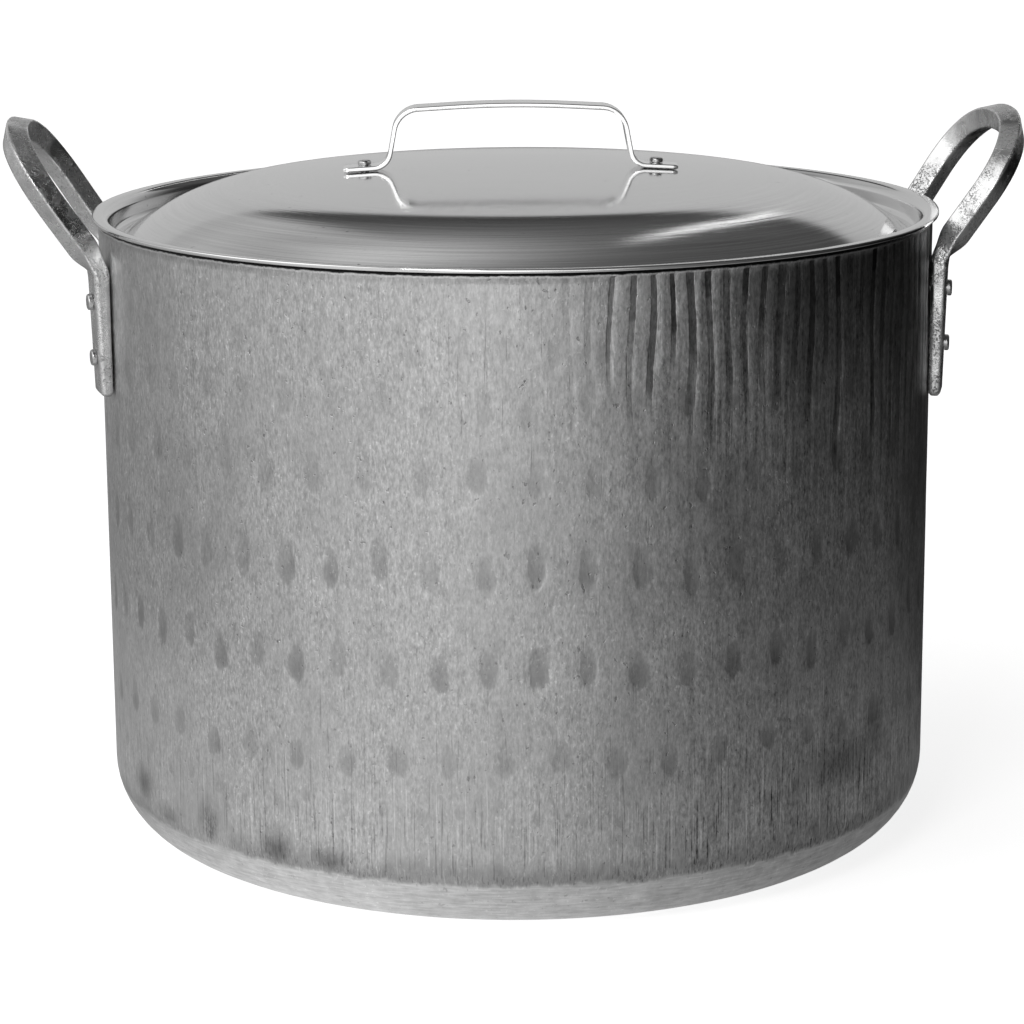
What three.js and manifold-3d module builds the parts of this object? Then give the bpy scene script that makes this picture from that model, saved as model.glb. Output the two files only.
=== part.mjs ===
// Stockpot of an outdoor frying set: a straight aluminium pot with a rounded base corner, two
// slanted loop handles riveted to its wall, and a stepped lid with a riveted strap handle.
// Millimetres, +Z up. The origin is the middle of the flat base, and the loop handles lie on X.
import * as THREE from 'three';
import { mergeVertices } from 'three/addons/utils/BufferGeometryUtils.js';
import Module from 'manifold-3d';

const wasm = await Module();
wasm.setup();

// Fits and facets
const fitGap = 0.3; // clearance between neighbouring pieces
const cutOverrun = 2; // how far a cutting tool runs past what it cuts
const latheSegments = 64;
const rivetSegments = 12;
const arcStep = Math.PI / 12; // widest turn between two points of a large arc
const smallArcSteps = 2; // over a rounded edge

// Pot shell
const potRadius = 197; // outside of the straight wall
const potHeight = 294.9; // base to the top of the rim
const potWall = 3;
const baseThickness = 3;
const baseCornerRadius = 34; // outside, where the base turns up into the wall
const lipProud = 0.6; // how far the slightly thickened rim stands out from the wall
const lipDepth = 1.8; // height of the thickened band
const lipInnerRound = 2.2; // rounding of the rim's inner edge
const lipOuterRound = 1.2;
const lipBlend = 0.8; // height over which the band runs back into the wall

// Lid shell
const lidOverhang = 3; // of the flange that rests on the rim, past the wall
const lidSheet = 1.8;
const lidEdgeRound = 0.5;
const stepClearance = 0.8; // between the lid's step and the pot's inner wall
const stepBendRadius = 3.2; // underside bend from the flange into the step
const valleyRadius = 3.5; // upper side of the channel at the foot of the step
const crownRise = 19.2; // top of the lid above the flange
const crownRadius = 1250; // the shallow middle of the lid
const shoulderSpan = 68; // the pot's inner wall to where the crown turns into the shoulder
const shoulderRadius = 115;
const crownSteps = 3;
const shoulderSteps = 4;
const valleySteps = 4;
const stepBendSteps = 3;

// Strap handle on the lid
const strapWidth = 16;
const strapThickness = 2.1;
const strapSpan = 158; // end of one foot to the end of the other
const strapShift = -2.1; // the strap sits this far off the middle of the lid
const strapFootLength = 21; // end of a foot to the bend where the leg stands on it
const strapLegLean = 5; // how much nearer the middle a leg is at its top
const strapRise = 26.7; // upper side of the feet to the ends of the grip
const strapCrown = 2.9; // extra rise in the middle of the grip
const strapCrownRound = 500;
const strapTopRound = 12;
const strapFootRound = 8;
const strapEdgeRound = 0.4;
const strapRivetInset = 10; // from the end of the foot
const lidTurn = THREE.MathUtils.degToRad(-2); // the loose lid lies turned by this much

// Rivets of the strap
const strapRivetHead = 6.4;
const strapRivetHeadHeight = 2;
const strapRivetShank = 4;
const strapRivetTail = 7;
const strapRivetTailHeight = 1.2;

// Loop handles
const footSpacing = 100; // between the middles of one handle's two feet
const bendDrop = 17.8; // below the rim, where the feet turn out into the loop
const footLengths = { right: 65.1, left: 58.1 }; // below the bend
const footWidth = 17;
const footThickness = 5.8; // at the lower end
const footRootThickness = 7.6; // at the bend
const footEdgeRound = 1.6; // corner cut along the foot's wall side
const footEndRound = 1.5;
const handleLean = THREE.MathUtils.degToRad(33.6); // of the loop, out from upright
const handleBendRadius = 8;
const loopHalfWidth = 54.6; // middle of the bar to the handle's centre plane
const legLength = 36; // bend to the start of the rounded end
const loopEndDepth = 33.9; // depth of the rounded end
const loopEndPower = 0.86; // below 1 squares the rounded end a little
const barHalfHeight = 7.4; // ridge to middle, square to the loop's plane
const barHalfWidth = 7.1; // ridge to middle, in the loop's plane
const ridgeRound = 0.9; // width cut off each ridge of the bar
const twistBelow = 7; // the foot starts to turn cornerwise this far below the bend
const twistAbove = 13; // and is a cornerwise bar this far above it
const footPitch = 12; // spacing of the sections along the plain foot
const twistPitch = 3;
const legPitch = 8;
const loopEndSteps = 12; // sections over half of the rounded end

// Rivets of the loop handles
const rivetHead = 7.5;
const rivetHeadHeight = 2;
const rivetShank = 5;
const rivetTail = 9;
const rivetTailHeight = 1.4;
const upperRivetDrop = 14.9; // below the bend
const rivetSpacing = 25.9; // from the upper rivet to the lower one
const headRoundShare = 0.4; // rounding of a rivet head, as a share of its height

// Finishes
const finish = {
  wall: { color: 0x9b9b9a, roughness: 0.5, metalness: 0.9 },
  lid: { color: 0xb9b9b8, roughness: 0.24, metalness: 1 },
  strap: { color: 0xd0d0cf, roughness: 0.2, metalness: 1 },
  cast: { color: 0x8f8f8e, roughness: 0.38, metalness: 1 },
  rivet: { color: 0xadadac, roughness: 0.3, metalness: 1 },
};

// Places worked out from the sizes above
const potInner = potRadius - potWall;
const lipRadius = potRadius + lipProud;
const lidRadius = potRadius + lidOverhang;
const shoulderStart = potInner - shoulderSpan;
const flangeUnder = potHeight + fitGap;
const flangeTop = flangeUnder + lidSheet;
const stepOuter = potInner - stepClearance;
const crownTop = flangeTop + crownRise;
const bendHeight = potHeight - bendDrop;
const upperRivetHeight = bendHeight - upperRivetDrop;
const lowerRivetHeight = upperRivetHeight - rivetSpacing;
const footSeatRadius = potRadius + fitGap;
const footCentreRadius = footSeatRadius + footRootThickness / 2;
const footAzimuth = Math.asin(footSpacing / 2 / footCentreRadius);
const facetShare = Math.cos(Math.PI / latheSegments);

// Points of an arc in a profile, from one angle to another about a centre.
function arcPoints(centre, radius, from, to, steps) {
  return Array.from({ length: steps + 1 }, (_, i) => {
    const angle = from + ((to - from) * i) / steps;
    return new THREE.Vector2(
      centre.x + radius * Math.cos(angle), centre.y + radius * Math.sin(angle));
  });
}

// Removes neighbours that coincide, so that a revolved or lofted skin has no empty faces.
function distinct(points) {
  return points.filter((point, i) => i === 0 || point.distanceTo(points[i - 1]) > 0);
}

// A profile of radius and height, turned about Z.
function revolve(points, segments) {
  return new THREE.LatheGeometry(distinct(points), segments).rotateX(Math.PI / 2);
}

// A skin with shared vertices and no empty triangles, ready to be joined or cut.
function toSolid(geometry) {
  const bare = geometry.clone();
  bare.deleteAttribute('normal');
  bare.deleteAttribute('uv');
  const merged = mergeVertices(bare);
  const corners = merged.index.array;
  const kept = [];
  for (let i = 0; i < corners.length; i += 3) {
    const [a, b, c] = corners.slice(i, i + 3);
    if (a !== b && b !== c && c !== a) kept.push(a, b, c);
  }
  return new wasm.Manifold(new wasm.Mesh({
    numProp: 3,
    vertProperties: new Float32Array(merged.attributes.position.array),
    triVerts: new Uint32Array(kept),
  }));
}

function toGeometry(solid) {
  const mesh = solid.getMesh();
  const geometry = new THREE.BufferGeometry();
  geometry.setAttribute('position', new THREE.BufferAttribute(mesh.vertProperties, 3));
  geometry.setIndex(new THREE.BufferAttribute(mesh.triVerts, 1));
  return geometry;
}

// Skins a row of closed sections that run clockwise seen from the row's far end.
function loft(sections) {
  const count = sections[0].length;
  const position = sections.flat().flatMap((point) => point.toArray());
  const index = [];
  for (let ring = 0; ring + 1 < sections.length; ring += 1) {
    for (let i = 0; i < count; i += 1) {
      const a = ring * count + i;
      const b = ring * count + ((i + 1) % count);
      index.push(b, a, b + count, b + count, a, a + count);
    }
  }
  const last = (sections.length - 1) * count;
  for (let i = 1; i + 1 < count; i += 1) {
    index.push(0, i, i + 1, last, last + i + 1, last + i);
  }
  const geometry = new THREE.BufferGeometry();
  geometry.setAttribute('position', new THREE.Float32BufferAttribute(position, 3));
  geometry.setIndex(index);
  return geometry;
}

// Holes of one diameter along the local Z of each place.
function drill(geometry, places, diameter, length) {
  let solid = toSolid(geometry);
  for (const place of places) {
    const bit = new THREE.CylinderGeometry(
      diameter / 2 + fitGap, diameter / 2 + fitGap, length, rivetSegments);
    bit.rotateX(Math.PI / 2).applyMatrix4(place);
    solid = solid.subtract(toSolid(bit));
  }
  return toGeometry(solid);
}

// A rivet with its head above z = 0 and its shank and tail below: z = 0 is the seat of the head
// and the tail's seat lies one grip below.
function rivet(head, headHeight, shank, tail, tailHeight, grip) {
  const round = headHeight * headRoundShare;
  const tailRound = tailHeight * headRoundShare;
  return revolve([
    new THREE.Vector2(0, -grip - tailHeight),
    ...arcPoints(new THREE.Vector2(tail / 2 - tailRound, tailRound - grip - tailHeight),
      tailRound, -Math.PI / 2, 0, smallArcSteps),
    new THREE.Vector2(tail / 2, -grip),
    new THREE.Vector2(shank / 2, -grip),
    new THREE.Vector2(shank / 2, 0),
    new THREE.Vector2(head / 2, 0),
    ...arcPoints(new THREE.Vector2(head / 2 - round, headHeight - round),
      round, 0, Math.PI / 2, smallArcSteps),
    new THREE.Vector2(0, headHeight),
  ], rivetSegments);
}

// Where the rivets of the loop handles go through the wall: on the middle line of each foot,
// with the local Z pointing out along the radius.
function wallRivetPlace(side, end, height, radius) {
  const azimuth = (side > 0 ? 0 : Math.PI) + side * end * footAzimuth;
  const place = new THREE.Matrix4().makeRotationZ(azimuth);
  place.multiply(new THREE.Matrix4().makeTranslation(radius, 0, height));
  return place.multiply(new THREE.Matrix4().makeRotationY(Math.PI / 2));
}

const sides = [['right', 1], ['left', -1]];
const ends = [['front', -1], ['rear', 1]];
const levels = [['upper', upperRivetHeight], ['lower', lowerRivetHeight]];

// Straight wall on a rounded base corner, with a thickened and rounded rim.
function potShell() {
  const inner = baseCornerRadius - potWall;
  const cornerSteps = Math.ceil(Math.PI / 2 / arcStep) + 1;
  const profile = [
    new THREE.Vector2(0, 0),
    ...arcPoints(new THREE.Vector2(potRadius - baseCornerRadius, baseCornerRadius),
      baseCornerRadius, -Math.PI / 2, 0, cornerSteps),
    new THREE.Vector2(potRadius, potHeight - lipDepth - lipBlend),
    new THREE.Vector2(lipRadius, potHeight - lipDepth),
    ...arcPoints(new THREE.Vector2(lipRadius - lipOuterRound, potHeight - lipOuterRound),
      lipOuterRound, 0, Math.PI / 2, smallArcSteps),
    ...arcPoints(new THREE.Vector2(potInner + lipInnerRound, potHeight - lipInnerRound),
      lipInnerRound, Math.PI / 2, Math.PI, smallArcSteps + 1),
    ...arcPoints(new THREE.Vector2(potRadius - baseCornerRadius, baseThickness + inner),
      inner, 0, -Math.PI / 2, cornerSteps),
    new THREE.Vector2(0, baseThickness),
  ];
  const places = sides.flatMap(([, side]) => ends.flatMap(([, end]) => levels.map(
    ([, height]) => wallRivetPlace(side, end, height, potRadius - potWall / 2))));
  return drill(revolve(profile, latheSegments), places, rivetShank, potWall + 2 * cutOverrun);
}

// Upper side of the lid from its middle to the channel: a shallow crown, then the shoulder
// arc, both moved down by an offset square to the surface, and the channel's own arc.
const crownTurn = Math.asin(shoulderStart / crownRadius);
const shoulderCentre = new THREE.Vector2(
  shoulderStart - shoulderRadius * Math.sin(crownTurn),
  crownTop - crownRadius + (crownRadius - shoulderRadius) * Math.cos(crownTurn));
const valleyCentreRadius = stepOuter - lidSheet - valleyRadius;
// The channel's arc touches the shoulder's, so their centres lie the sum of the radii apart.
const valleyTurn = Math.asin(
  (valleyCentreRadius - shoulderCentre.x) / (shoulderRadius + valleyRadius));
const valleyCentre = new THREE.Vector2(valleyCentreRadius,
  shoulderCentre.y + (shoulderRadius + valleyRadius) * Math.cos(valleyTurn));

function lidSide(offset) {
  const crownCentre = new THREE.Vector2(0, crownTop - crownRadius);
  const bendCentre = new THREE.Vector2(stepOuter + stepBendRadius, flangeUnder - stepBendRadius);
  return [
    new THREE.Vector2(0, crownTop - offset),
    ...arcPoints(crownCentre, crownRadius - offset,
      Math.PI / 2, Math.PI / 2 - crownTurn, crownSteps).slice(1),
    ...arcPoints(shoulderCentre, shoulderRadius - offset,
      Math.PI / 2 - crownTurn, Math.PI / 2 - valleyTurn, shoulderSteps).slice(1),
    ...arcPoints(valleyCentre, valleyRadius + offset, -Math.PI / 2 - valleyTurn, 0, valleySteps),
    ...arcPoints(bendCentre, stepBendRadius + lidSheet - offset,
      Math.PI, Math.PI / 2, stepBendSteps),
  ];
}

// One pressed sheet: flange, step, channel, shoulder and crown.
function lidShell() {
  const upper = lidSide(0);
  const under = lidSide(lidSheet).reverse();
  const rim = [
    ...arcPoints(new THREE.Vector2(lidRadius - lidEdgeRound, flangeTop - lidEdgeRound),
      lidEdgeRound, Math.PI / 2, 0, smallArcSteps),
    ...arcPoints(new THREE.Vector2(lidRadius - lidEdgeRound, flangeUnder + lidEdgeRound),
      lidEdgeRound, 0, -Math.PI / 2, smallArcSteps),
  ];
  return revolve([...upper, ...rim, ...under].reverse(), latheSegments);
}

// Height and slope of the crown's upper side at a distance from the lid's middle.
function crownHeight(radius) {
  return crownTop - crownRadius + Math.sqrt(crownRadius ** 2 - radius ** 2);
}

const strapFootX = strapSpan / 2 - strapFootLength;
const strapRivetX = strapSpan / 2 - strapRivetInset;
const strapSeatTurn = Math.asin(strapRivetX / crownRadius);

// A corner of a bent strip is rounded by an arc that touches both of its sides.
function roundedPath(corners, radii) {
  const path = [corners[0]];
  for (let i = 1; i + 1 < corners.length; i += 1) {
    const before = corners[i - 1].clone().sub(corners[i]).normalize();
    const after = corners[i + 1].clone().sub(corners[i]).normalize();
    const half = Math.acos(before.dot(after)) / 2;
    const cut = radii[i] / Math.tan(half);
    const centre = before.clone().add(after).normalize()
      .multiplyScalar(radii[i] / Math.sin(half)).add(corners[i]);
    const start = before.multiplyScalar(cut).add(corners[i]).sub(centre).angle();
    const end = after.multiplyScalar(cut).add(corners[i]).sub(centre).angle();
    const turn = ((end - start + 3 * Math.PI) % (2 * Math.PI)) - Math.PI;
    path.push(...arcPoints(centre, radii[i], start, start + turn,
      Math.ceil(Math.abs(turn) / arcStep) + 1));
  }
  path.push(corners[corners.length - 1]);
  return distinct(path);
}

// Bent strip: feet that lie on the crown, leaning legs, and a slightly crowned grip.
function strapPath() {
  const half = strapThickness / 2;
  const level = crownHeight(strapRivetX) + (fitGap + half) / Math.cos(strapSeatTurn);
  const onFoot = (x) => level - (x - strapRivetX) * Math.tan(strapSeatTurn);
  const gripZ = onFoot(strapFootX) + strapRise;
  const right = [
    new THREE.Vector2(strapFootX - strapLegLean, gripZ),
    new THREE.Vector2(strapFootX, onFoot(strapFootX)),
    new THREE.Vector2(strapSpan / 2, onFoot(strapSpan / 2)),
  ];
  const left = right.map((point) => new THREE.Vector2(-point.x, point.y)).reverse();
  const middle = new THREE.Vector2(0, gripZ + strapCrown);
  return roundedPath([...left, middle, ...right], [0, strapFootRound, strapTopRound,
    strapCrownRound, strapTopRound, strapFootRound, 0]);
}

// The strip's section is a flat bar with its edges broken, set square to the path.
function lidHandle() {
  const path = strapPath();
  const across = [
    [strapWidth / 2 - strapEdgeRound, strapThickness / 2],
    [strapWidth / 2, strapThickness / 2 - strapEdgeRound],
    [strapWidth / 2, strapEdgeRound - strapThickness / 2],
    [strapWidth / 2 - strapEdgeRound, -strapThickness / 2],
  ];
  const section = [...across, ...across.map(([y, z]) => [-y, -z])];
  const rings = path.map((point, i) => {
    const back = path[Math.max(i - 1, 0)];
    const next = path[Math.min(i + 1, path.length - 1)];
    const into = i > 0 ? point.clone().sub(back).normalize() : new THREE.Vector2();
    const out = i + 1 < path.length ? next.clone().sub(point).normalize() : new THREE.Vector2();
    const along = into.clone().add(out).normalize();
    const mitre = i > 0 && i + 1 < path.length ? 1 / along.dot(out) : 1;
    return section.map(([y, z]) => new THREE.Vector3(
      point.x - along.y * z * mitre, y, point.y + along.x * z * mitre));
  });
  const places = [-1, 1].map((end) => strapRivetPlace(end, 0));
  return drill(loft(rings), places, strapRivetShank, strapThickness + 2 * cutOverrun);
}

// Where a strap rivet goes through foot and lid, square to the crown, at a height above the
// crown's upper side. Both are on the strap's own middle line.
function strapRivetPlace(end, above) {
  const place = new THREE.Matrix4().makeTranslation(0, 0, crownTop - crownRadius);
  place.multiply(new THREE.Matrix4().makeRotationY(end * strapSeatTurn));
  return place.multiply(new THREE.Matrix4().makeTranslation(0, 0, crownRadius + above));
}

// Evenly spaced values from a start up to, but not reaching, a stop.
function steps(start, stop, pitch) {
  return Array.from({ length: Math.max(Math.ceil((stop - start) / pitch), 0) },
    (_, i) => start + i * pitch);
}

// The feet are thinner towards their lower ends.
function thicknessAt(height, footLength) {
  return THREE.MathUtils.lerp(footRootThickness, footThickness,
    THREE.MathUtils.clamp((bendHeight - height) / footLength, 0, 1));
}

// Middle line of one half of a loop handle, for y above 0, with the outward direction that the
// section's height follows. The foot stands on the wall, the bend leans the bar out, the leg
// widens to the loop's width, and a rounded end closes it.
function handleStations(footLength) {
  const footX = footCentreRadius * Math.cos(footAzimuth);
  const footY = footSpacing / 2;
  const outward = new THREE.Vector3(Math.cos(footAzimuth), Math.sin(footAzimuth), 0);
  const up = new THREE.Vector3(0, 0, 1);
  const lean = new THREE.Vector3(Math.sin(handleLean), 0, Math.cos(handleLean));
  const loopNormal = new THREE.Vector3(Math.cos(handleLean), 0, -Math.sin(handleLean));
  const bend = new THREE.Vector3(footX, footY, bendHeight);
  const legTop = lean.clone().multiplyScalar(legLength).add(bend);
  legTop.y = loopHalfWidth;
  const leg = legTop.clone().sub(bend).normalize();
  const turn = Math.acos(up.dot(leg));
  const cut = handleBendRadius * Math.tan(turn / 2);
  const stations = [];
  const footBottom = bendHeight - footLength;
  const add = (point, normal, travel) => stations.push({ point, normal, travel });

  const footStops = [
    0,
    footEndRound,
    ...steps(footPitch, footLength - twistBelow, footPitch),
    ...steps(footLength - twistBelow, footLength - cut, twistPitch),
  ];
  for (const s of footStops) {
    const inset = (footRootThickness - thicknessAt(footBottom + s, footLength)) / 2;
    add(new THREE.Vector3(footX, footY, footBottom + s).addScaledVector(outward, -inset),
      outward, s - footLength);
  }
  const bendSteps = 2 * Math.ceil(turn / arcStep) + 1;
  for (let i = 0; i <= bendSteps; i += 1) {
    const angle = (turn * i) / bendSteps;
    const side = leg.clone().addScaledVector(up, -up.dot(leg)).normalize();
    const point = bend.clone().addScaledVector(up, -cut)
      .addScaledVector(up, handleBendRadius * Math.sin(angle))
      .addScaledVector(side, handleBendRadius * (1 - Math.cos(angle)));
    const normal = outward.clone().lerp(loopNormal, i / bendSteps);
    add(point, normal, handleBendRadius * (angle - turn / 2));
  }
  const legSpan = legTop.distanceTo(bend);
  const legStops = [
    ...steps(cut + twistPitch, twistAbove, twistPitch),
    ...steps(twistAbove, legSpan - legPitch / 2, legPitch),
  ];
  for (const s of legStops) {
    add(bend.clone().addScaledVector(leg, s), loopNormal, s);
  }
  for (let i = 0; i <= loopEndSteps; i += 1) {
    const angle = (Math.PI / 2) * (i / loopEndSteps);
    const out = loopEndDepth * Math.sin(angle) ** loopEndPower;
    const point = legTop.clone().addScaledVector(lean, out);
    point.y = loopHalfWidth * Math.max(Math.cos(angle), 0) ** loopEndPower;
    add(point, loopNormal, legSpan + out);
  }
  stations[stations.length - 1].point.y = 0;
  return stations;
}

// Corners of the bar's section as height outward and width away from the handle's middle,
// turned from the flat foot into the bar that stands on its corner.
function barSection(travel, thickness) {
  const share = THREE.MathUtils.smoothstep(travel, -twistBelow, twistAbove);
  const flat = [[1, 1], [-1, 1], [-1, -1], [1, -1]]
    .map(([h, w]) => new THREE.Vector2((h * thickness) / 2, (w * footWidth) / 2));
  const cornerwise = [[0, 1], [-1, 0], [0, -1], [1, 0]]
    .map(([h, w]) => new THREE.Vector2(h * barHalfHeight, w * barHalfWidth));
  const corners = flat.map((corner, i) => corner.lerp(cornerwise[i], share));
  return corners.flatMap((corner, i) => {
    const wallSide = i === 1 || i === 2;
    const round = THREE.MathUtils.lerp(wallSide ? footEdgeRound : ridgeRound, ridgeRound, share);
    const before = corners[(i + 3) % 4];
    const after = corners[(i + 1) % 4];
    return [before, after].map((next) => corner.clone().lerp(next, round / corner.distanceTo(next)));
  });
}

// One cast bar: two flat feet and the slanted loop between them.
function sideHandle(side, footLength) {
  const half = handleStations(footLength);
  const mirrored = half.slice(0, -1).map(({ point, normal, travel }) => ({
    point: point.clone().multiply(new THREE.Vector3(1, -1, 1)),
    normal: normal.clone().multiply(new THREE.Vector3(1, -1, 1)),
    travel,
  }));
  const stations = [...mirrored, ...half.reverse()];
  const rings = stations.map(({ point, normal, travel }, i) => {
    const back = stations[Math.max(i - 1, 0)].point;
    const next = stations[Math.min(i + 1, stations.length - 1)].point;
    const along = next.clone().sub(back).normalize();
    if (i === 0 || i === 1) along.set(0, 0, 1);
    if (i >= stations.length - 2) along.set(0, 0, -1);
    const height = normal.clone().addScaledVector(along, -normal.dot(along)).normalize();
    const width = new THREE.Vector3().crossVectors(height, along); // away from the middle
    const shrink = i === 0 || i === stations.length - 1 ? footEndRound / 2 : 0;
    return barSection(travel, thicknessAt(point.z, footLength)).map((corner) => {
      const h = corner.x - Math.sign(corner.x) * shrink;
      const w = corner.y - Math.sign(corner.y) * shrink;
      return point.clone().addScaledVector(height, h).addScaledVector(width, w);
    });
  });
  const geometry = loft(rings);
  if (side < 0) geometry.rotateZ(Math.PI);
  const places = ends.flatMap(([, end]) => levels.map(
    ([, height]) => wallRivetPlace(side, end, height, footCentreRadius)));
  return drill(geometry, places, rivetShank, footRootThickness + 2 * cutOverrun);
}

function part(name, geometry, look) {
  const mesh = new THREE.Mesh(geometry, new THREE.MeshStandardMaterial(look));
  mesh.name = name;
  return mesh;
}

const pot = new THREE.Group();
pot.name = 'pot';
pot.add(part('pot_shell', potShell(), finish.wall));

// The heads clear the sloping outer face of the foot under their upper edge.
function headSeat(height, footLength) {
  return footSeatRadius + thicknessAt(height + rivetHead / 2, footLength) + fitGap;
}

// The tails' seats clear the faceted inner wall under the whole tail.
const innerSeat = Math.sqrt(potInner ** 2 - (rivetTail / 2) ** 2) * facetShare - fitGap;
for (const [sideName, side] of sides) {
  pot.add(part(`side_handle_${sideName}`, sideHandle(side, footLengths[sideName]), finish.cast));
  for (const [endName, end] of ends) {
    for (const [levelName, height] of levels) {
      const outerSeat = headSeat(height, footLengths[sideName]);
      const geometry = rivet(rivetHead, rivetHeadHeight, rivetShank, rivetTail, rivetTailHeight,
        outerSeat - innerSeat);
      geometry.applyMatrix4(wallRivetPlace(side, end, height, outerSeat));
      pot.add(part(`rivet_${sideName}_${endName}_${levelName}`, geometry, finish.rivet));
    }
  }
}

// Everything on the lid is turned with it. The strap is shifted along its own length.
const lid = new THREE.Group();
lid.name = 'lid';
const shift = new THREE.Matrix4().makeTranslation(strapShift, 0, 0);
const lidPlaces = [-1, 1].map((end) => shift.clone().multiply(strapRivetPlace(end, 0)));
lid.add(part('lid_shell',
  drill(lidShell(), lidPlaces, strapRivetShank, lidSheet + 2 * cutOverrun), finish.lid));
lid.add(part('lid_handle', lidHandle().applyMatrix4(shift), finish.strap));
const strapHeadSeat = strapThickness + 2 * fitGap;
for (const [end, name] of [[-1, 'lid_rivet_left'], [1, 'lid_rivet_right']]) {
  const geometry = rivet(strapRivetHead, strapRivetHeadHeight, strapRivetShank, strapRivetTail,
    strapRivetTailHeight, strapHeadSeat + lidSheet + fitGap);
  geometry.applyMatrix4(shift.clone().multiply(strapRivetPlace(end, strapHeadSeat)));
  lid.add(part(name, geometry, finish.rivet));
}
lid.rotation.z = lidTurn;

const stockpot = new THREE.Group();
stockpot.name = 'stockpot';
stockpot.add(pot, lid);

export default stockpot;
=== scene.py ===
# Looks of a lidded stockpot for outdoor frying: a hammered aluminium pot with two cast loop
# handles, and a turned lid with a polished strap handle. Lengths are in metres and +Z is up. The
# origin is the middle of the pot's flat base, and azimuths run from the front (-Y) towards +X.
import math

import bpy
import numpy as np
from mathutils import Matrix, Vector


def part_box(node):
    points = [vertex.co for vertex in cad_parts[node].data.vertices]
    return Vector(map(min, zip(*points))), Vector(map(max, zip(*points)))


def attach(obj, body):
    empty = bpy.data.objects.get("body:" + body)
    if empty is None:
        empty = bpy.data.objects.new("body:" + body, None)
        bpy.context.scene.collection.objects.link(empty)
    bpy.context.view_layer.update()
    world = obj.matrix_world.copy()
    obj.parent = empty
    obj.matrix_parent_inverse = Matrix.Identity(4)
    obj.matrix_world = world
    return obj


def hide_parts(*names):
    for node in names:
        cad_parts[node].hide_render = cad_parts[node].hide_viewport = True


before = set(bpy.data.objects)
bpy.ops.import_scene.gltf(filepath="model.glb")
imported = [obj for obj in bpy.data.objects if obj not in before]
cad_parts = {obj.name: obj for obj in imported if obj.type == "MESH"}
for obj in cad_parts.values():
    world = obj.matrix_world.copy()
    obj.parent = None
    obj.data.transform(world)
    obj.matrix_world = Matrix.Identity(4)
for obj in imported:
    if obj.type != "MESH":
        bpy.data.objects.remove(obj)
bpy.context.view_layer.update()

MM = 0.001
TURN = 2 * math.pi
draw = np.random.default_rng(7)

pot_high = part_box("pot_shell")[1]
lid_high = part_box("lid_shell")[1]

# Pot
rim_radius = pot_high.x
rim_height = pot_high.z
rim_proud = 0.6 * MM  # how far the rim stands out from the wall
rim_depth = 1.8 * MM
rim_blend = 0.8 * MM  # height over which the rim runs back into the wall
rim_inner_round = 2.2 * MM
rim_flat = 0.2 * MM  # level ring between the rim's two roundings
wall_radius = rim_radius - rim_proud
wall_sheet = 3 * MM
base_corner = 34 * MM
base_rings = (20 * MM, 90 * MM, 150 * MM)  # radii, on the underside
floor_rings = (100 * MM, 20 * MM)  # and on the floor inside
marks_start_share = 0.5  # height over which marks are pressed in, as a share of base_corner
wall_columns = 640
wall_rows = 104

# Lid
flange_radius = lid_high.x
crown_top = lid_high.z
flange_gap = 0.3 * MM
lid_sheet = 1.8 * MM
flange_top = rim_height + flange_gap + lid_sheet
flange_edge = 0.5 * MM
step_gap = 0.8 * MM
step_radius = wall_radius - wall_sheet - step_gap
step_bend = 3.2 * MM
channel_bend = 3.5 * MM
crown_radius = 1.25
shoulder_span = 68 * MM
shoulder_radius = 115 * MM
lid_columns = 400

# Strap handle of the lid
strap_width = 16 * MM
strap_sheet = 2.1 * MM
strap_span = 158 * MM
strap_shift = -2.1 * MM
strap_foot = 21 * MM
strap_lean = 5 * MM
strap_rise = 26.7 * MM
strap_crown = 2.9 * MM
strap_edge = 0.45 * MM
strap_rivet_inset = 10 * MM
strap_bends = (8 * MM, 12 * MM, 0.5, 12 * MM, 8 * MM)
strap_step = 1.2 * MM  # between the sections along it
lid_turn = math.radians(-2)

# Loop handles
foot_spacing = 100 * MM
foot_lengths = {"right": 65.1 * MM, "left": 58.1 * MM}
bend_height = rim_height - 17.8 * MM
foot_width = 17 * MM
foot_end_sheet = 5.8 * MM
foot_root_sheet = 7.6 * MM
foot_edge = 1.9 * MM
handle_lean = math.radians(33.6)
handle_bend = 8 * MM
loop_half_width = 54.6 * MM
leg_length = 36 * MM
loop_end_depth = 33.9 * MM
loop_end_power = 0.86
bar_half_height = 7.4 * MM
bar_half_width = 7.1 * MM
bar_ridge = 1.1 * MM
twist_below = 7 * MM
twist_above = 13 * MM
bar_step = 0.9 * MM  # between the sections along it
foot_draw_in = (1.1 * MM, 0.35 * MM, 0)  # of a foot's last sections
face_points = 7
ridge_points = 4
seat_gap = 0.3 * MM

# Rivets: head diameter, head height, shank, tail diameter, tail height
wall_rivet = (7.5 * MM, 2 * MM, 5 * MM, 9 * MM, 1.4 * MM)
strap_rivet = (6.4 * MM, 2 * MM, 4 * MM, 7 * MM, 1.2 * MM)
head_round_share = 0.42  # rounding of a head and of a tail, as shares of their heights
tail_round_share = 0.4
rivet_flat_share = 0.2  # radius of their flat middles, as a share of the diameter
tail_gap = 0.5 * MM
rivet_levels = {"upper": bend_height - 14.9 * MM, "lower": bend_height - 40.8 * MM}

sides = {"right": 1, "left": -1}
ends = {"front": -1, "rear": 1}


def arc(centre, radius, start, stop, count):
    """Points of a circle's arc: the centre plus the radius times cosine and sine of the angle."""
    angle = np.linspace(start, stop, count)[:, None]
    return np.asarray(centre) + radius * np.hstack([np.cos(angle), np.sin(angle)])


def run(start, stop, count):
    """Evenly spaced points of the straight line from start to stop, without its two ends."""
    share = np.linspace(0, 1, count + 2)[1:-1, None]
    return np.asarray(start) * (1 - share) + np.asarray(stop) * share


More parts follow.
